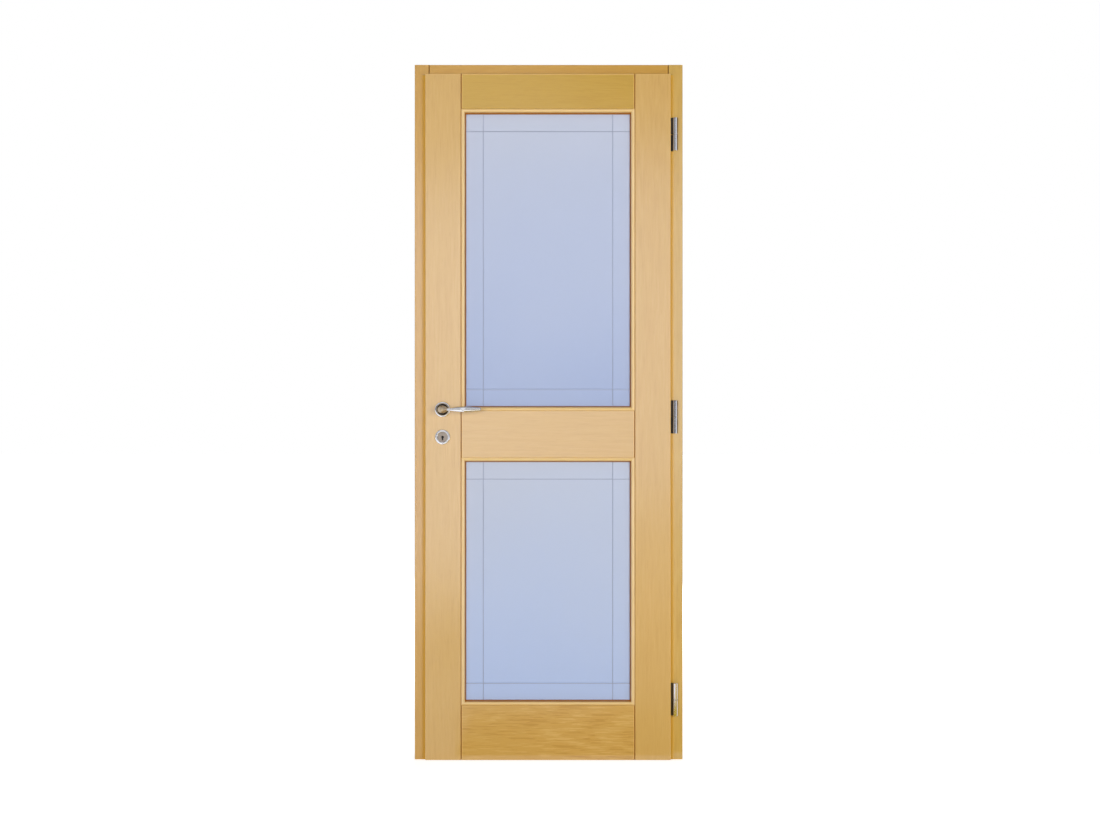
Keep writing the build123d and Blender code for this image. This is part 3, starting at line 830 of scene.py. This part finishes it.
# Cards stand or lie just above the floor, and one hangs at the ceiling
CARD_LIFT = 0.01
CARD_FOOT = 0.02
BACK_CARD_Y = -9.5
TALL_CARD_TOP = 6.5
LOW_CARD_TOP = 1.6
SIDE_CARD_X = 5.0
CEILING = 5.0
DARK_CARD = (0.02, 0.02, 0.022)
WARM_CARD_NEAR = (0.60, 0.40, 0.02)
WARM_CARD_FAR = (0.95, 0.72, 0.42)


def card_behind(low_x, high_x, top):
    """Corners of an upright card far behind the camera."""
    y = BACK_CARD_Y
    return [(low_x, y, CARD_FOOT), (high_x, y, CARD_FOOT), (high_x, y, top), (low_x, y, top)]


def card_beside(low_y, high_y, top):
    """Corners of an upright card to the right of the set."""
    x = SIDE_CARD_X
    return [(x, low_y, CARD_FOOT), (x, high_y, CARD_FOOT), (x, high_y, top), (x, low_y, top)]


def card_material(name, colour):
    material, tree = new_material(name)
    tree.surface(tree.add("ShaderNodeEmission", {"Color": (*colour, 1.0)}).outputs[0])
    return material


def build_cards():
    """Cards around the set, which only metal, varnish and glass reflect."""
    dark = card_material("dark_card", DARK_CARD)
    warm_near = card_material("warm_card_near", WARM_CARD_NEAR)
    warm_far = card_material("warm_card_far", WARM_CARD_FAR)
    cards = {
        "card_behind_left": (card_behind(-14, -3, TALL_CARD_TOP), dark),
        "card_behind_low": (card_behind(-0.9, -0.2, LOW_CARD_TOP), dark),
        "card_behind_low_left": (card_behind(-3, -1.9, LOW_CARD_TOP), dark),
        "card_behind_right": (card_behind(-0.2, 3, TALL_CARD_TOP), dark),
        "card_right": (card_beside(-1.5, 8, CEILING), dark),
        "card_above": (level_corners((-4, 3), (-1.3, 6), CEILING), dark),
        "card_under_lever": (level_corners((-0.98, -0.70), (-3.4, -1.6), CARD_LIFT), dark),
        "card_by_door": (level_corners((-0.68, 1.3), (-0.80, -0.09), CARD_LIFT), warm_near),
        "card_further_out": (level_corners((-0.2, 1.3), (-4.2, -0.80), CARD_LIFT), warm_far),
    }
    for name, (corners, material) in cards.items():
        card = add_panel(name, corners, material)
        card.visible_camera = False
        card.visible_diffuse = False
        card.visible_shadow = False


# Lamps: places and sizes in metres, powers in watts
WHITE = (1.0, 1.0, 1.0)
WARM_WHITE = (1.0, 0.99, 0.97)
COLD_WHITE = (0.58, 0.73, 1.0)
KEY_Y, KEY_Z = -4.5, 1.2
KEY_SIZE = (0.9, 1.4)
KEY_TARGET_Z = 1.1
BACK_Y = 4.0
BACK_TARGET = (CAMERA_X, 0, 1.0)
GLARE_BEHIND_CAMERA = 0.15
GLARE_FROM_MIDDLE = 0.6
GLARE_WIDTH = 1.2


def add_softbox(name, place, target, size, power, colour=WHITE):
    """A rectangular lamp at place that shines on target."""
    lamp = bpy.data.lights.new(name, "AREA")
    lamp.shape = "RECTANGLE"
    lamp.size, lamp.size_y = size
    lamp.energy = power
    lamp.color = colour
    box = bpy.data.objects.new(name, lamp)
    box.location = place
    direction = Vector(target) - Vector(place)
    box.rotation_euler = direction.to_track_quat("-Z", "Y").to_euler()
    box.visible_camera = False
    bpy.context.scene.collection.objects.link(box)
    return box


def build_keys_and_fills():
    """Two keys that throw the slab's lip shadows, and soft light from above and behind."""
    middle = (CAMERA_X, SLAB_FRONT, KEY_TARGET_Z)
    key_right = add_softbox("key_right", (2.0, KEY_Y, KEY_Z), middle, KEY_SIZE, 111, WARM_WHITE)
    key_left = add_softbox("key_left", (-1.9, KEY_Y, KEY_Z), middle, KEY_SIZE, 88, WARM_WHITE)
    top_fill = add_softbox(
        "top_fill", (CAMERA_X, -2.5, 4.2), (CAMERA_X, 0, 1.2), (3.0, 1.6), 15, WARM_WHITE
    )
    add_softbox("back_fill", (CAMERA_X, BACK_Y, 2.2), BACK_TARGET, (3.0, 2.4), 60)
    back_key = add_softbox("back_key", (CAMERA_X + 1.0, BACK_Y, 1.6), BACK_TARGET, (2.4, 2.0), 95)
    back_key.visible_transmission = False
    for unreflected in (key_right, key_left, top_fill, back_key):
        unreflected.visible_glossy = False


def build_glare():
    """Cold boxes behind the camera that only the varnish and the glass reflect."""
    varnished = bpy.data.collections.new("varnish_and_glass")
    for name, piece in nodes.items():
        if name in BOARDS or "_bead_" in name or name.endswith("_glass"):
            varnished.objects.link(piece)
    y = SLAB_FRONT - CAMERA_DISTANCE - GLARE_BEHIND_CAMERA
    for name, from_middle, z, height, power in (
        ("glare_left", -GLARE_FROM_MIDDLE, 1.24, 2.42, 25),
        ("glare_right", GLARE_FROM_MIDDLE, 1.54, 2.12, 23),
    ):
        x = CAMERA_X + from_middle
        glare = add_softbox(name, (x, y, z), (x, 0, z), (GLARE_WIDTH, height), power, COLD_WHITE)
        glare.visible_diffuse = False
        glare.light_linking.receiver_collection = varnished


def build_camera():
    data = bpy.data.cameras.new("camera")
    data.type = "PERSP"
    data.sensor_width = SENSOR_WIDTH
    view_width = PICTURE_WIDTH * METRES_PER_PIXEL
    data.lens = SENSOR_WIDTH * CAMERA_DISTANCE / view_width
    data.dof.use_dof = False
    data.clip_end = FARTHEST_SEEN
    camera = bpy.data.objects.new("camera", data)
    camera.location = (CAMERA_X, SLAB_FRONT - CAMERA_DISTANCE, CAMERA_Z)
    camera.rotation_euler = (math.radians(90), 0, 0)
    bpy.context.scene.collection.objects.link(camera)
    bpy.context.scene.camera = camera


dress_boards()
dress_beads()
for pane in ("upper_glass", "lower_glass"):
    dress(pane, frosted_glass(pane), bevel=0)
dress_metal()
smooth_nodes()
add_screws()
add_turned_pieces()

build_floor()
build_world()
build_cards()
build_keys_and_fills()
build_glare()
build_camera()
bpy.context.scene.view_settings.view_transform = "Standard"
